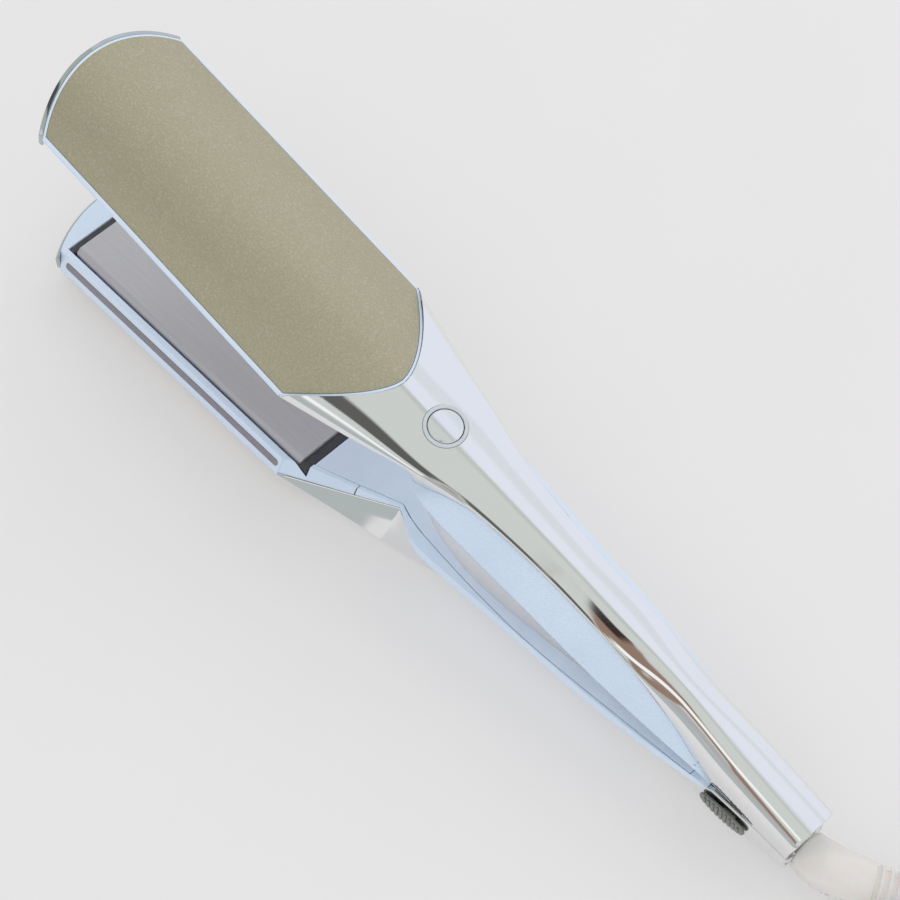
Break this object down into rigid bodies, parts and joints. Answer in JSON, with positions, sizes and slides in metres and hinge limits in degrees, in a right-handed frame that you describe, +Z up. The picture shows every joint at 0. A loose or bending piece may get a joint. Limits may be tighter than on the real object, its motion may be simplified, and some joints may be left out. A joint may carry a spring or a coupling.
{
  "type": "hair straightener",
  "caption": "Wide plate hair straightener with two bright sculpted arms on a rear hinge, floating heated plates, a round power key and a cord folded into a tied hank.",
  "frame": {"origin": "centre of the footprint of the two arms, on the surface that the lower arm lies on", "axes": "+X along the arms from the hinge to the tip, +Y to the left side that the lock slider is on, +Z up from the surface"},
  "size_m": [0.5095, 0.0634, 0.0861],
  "materials": {
    "gold_panel": "speckled satin gold",
    "bright_shell": "mirror",
    "tip_trim": "mirror",
    "pale_blue_plastic": "gloss",
    "grey_pad": "matte",
    "heated_plate": "coated satin",
    "heater_ceramic": "matt ceramic",
    "dark_cushion": "matte",
    "grey_block": "matte",
    "steel": "bright",
    "slider_metal": "satin",
    "dark_plastic": "gloss",
    "board": "matte",
    "key_plastic": "gloss",
    "lead_wire": "matte",
    "cream_relief": "translucent satin",
    "cord_white": "satin",
    "tie_band": "matte",
    "pin_metal": "nickel plated"
  },
  "bodies": {
    "lower_arm": {"lower_gold_panel": "gold_panel", "lower_chrome_shell": "bright_shell", "lower_end_cap": "bright_shell", "lower_tip_trim": "tip_trim", "lower_head_housing": "pale_blue_plastic", "lower_frame": "pale_blue_plastic", "lower_inner_cover": "pale_blue_plastic", "lower_side_pads": "grey_pad", "lower_cushion": "dark_cushion", "lower_hinge_block": "grey_block", "hinge_pin": "steel", "hinge_spring": "steel", "lower_hinge_screws": "steel", "power_board": "board", "lower_heater_leads": "lead_wire", "supply_leads": "lead_wire", "strain_relief": "cream_relief", "cord": "cord_white", "cord_hank": "cord_white", "cord_tie": "tie_band", "cord_tail": "cord_white", "plug_body": "cord_white", "plug_pins": "pin_metal"},
    "upper_arm": {"upper_gold_panel": "gold_panel", "upper_chrome_shell": "bright_shell", "upper_end_cap": "bright_shell", "upper_tip_trim": "tip_trim", "upper_head_housing": "pale_blue_plastic", "upper_frame": "pale_blue_plastic", "upper_inner_cover": "pale_blue_plastic", "upper_side_pads": "grey_pad", "upper_cushion": "dark_cushion", "upper_hinge_block": "grey_block", "upper_hinge_screws": "steel", "button_ring": "bright_shell", "power_switch": "dark_plastic", "control_board": "board", "display_window": "dark_plastic", "upper_heater_leads": "lead_wire", "button_spring": "steel"},
    "lower_plate_unit": {"lower_plate": "heated_plate", "lower_heater": "heater_ceramic"},
    "upper_plate_unit": {"upper_plate": "heated_plate", "upper_heater": "heater_ceramic"},
    "power_key": {"power_button": "bright_shell"},
    "temp_up_key": {"temp_up_button": "key_plastic"},
    "temp_down_key": {"temp_down_button": "key_plastic"},
    "lock": {"lock_slider": "slider_metal"},
    "swivel": {"cord_swivel": "cream_relief"}
  },
  "joints": [
    {"name": "arm_hinge", "type": "hinge", "parent": "lower_arm", "child": "upper_arm", "pos_m": [-0.12544, 0, 0.015], "axis": [0, 1, 0], "range_deg": [0, 12.2], "stiffness_Nm_per_rad": 0.98, "springref_deg": -24.98},
    {"name": "lower_plate_float", "type": "slide", "parent": "lower_arm", "child": "lower_plate_unit", "axis": [0, 0, -1], "range_m": [0, 0.0006], "stiffness_N_per_m": 20000, "deforming": ["lower_cushion"]},
    {"name": "upper_plate_float", "type": "slide", "parent": "upper_arm", "child": "upper_plate_unit", "axis": [-0.2147, 0, 0.9767], "range_m": [0, 0.0006], "stiffness_N_per_m": 20000, "deforming": ["upper_cushion"]},
    {"name": "power_press", "type": "slide", "parent": "upper_arm", "child": "power_key", "axis": [0.2147, 0, -0.9767], "range_m": [0, 0.0006], "stiffness_N_per_m": 800, "deforming": ["button_spring"]},
    {"name": "temp_up_press", "type": "slide", "parent": "upper_arm", "child": "temp_up_key", "axis": [-0.2147, 0, 0.9767], "range_m": [0, 0.0004], "stiffness_N_per_m": 600},
    {"name": "temp_down_press", "type": "slide", "parent": "upper_arm", "child": "temp_down_key", "axis": [-0.2147, 0, 0.9767], "range_m": [0, 0.0004], "stiffness_N_per_m": 600},
    {"name": "lock_slide", "type": "slide", "parent": "lower_arm", "child": "lock", "axis": [1, 0, 0], "range_m": [0, 0.0024]},
    {"name": "cord_turn", "type": "hinge", "parent": "lower_arm", "child": "swivel", "pos_m": [-0.13619, 0, 0.009], "axis": [1, 0, 0], "continuous": true}
  ]
}
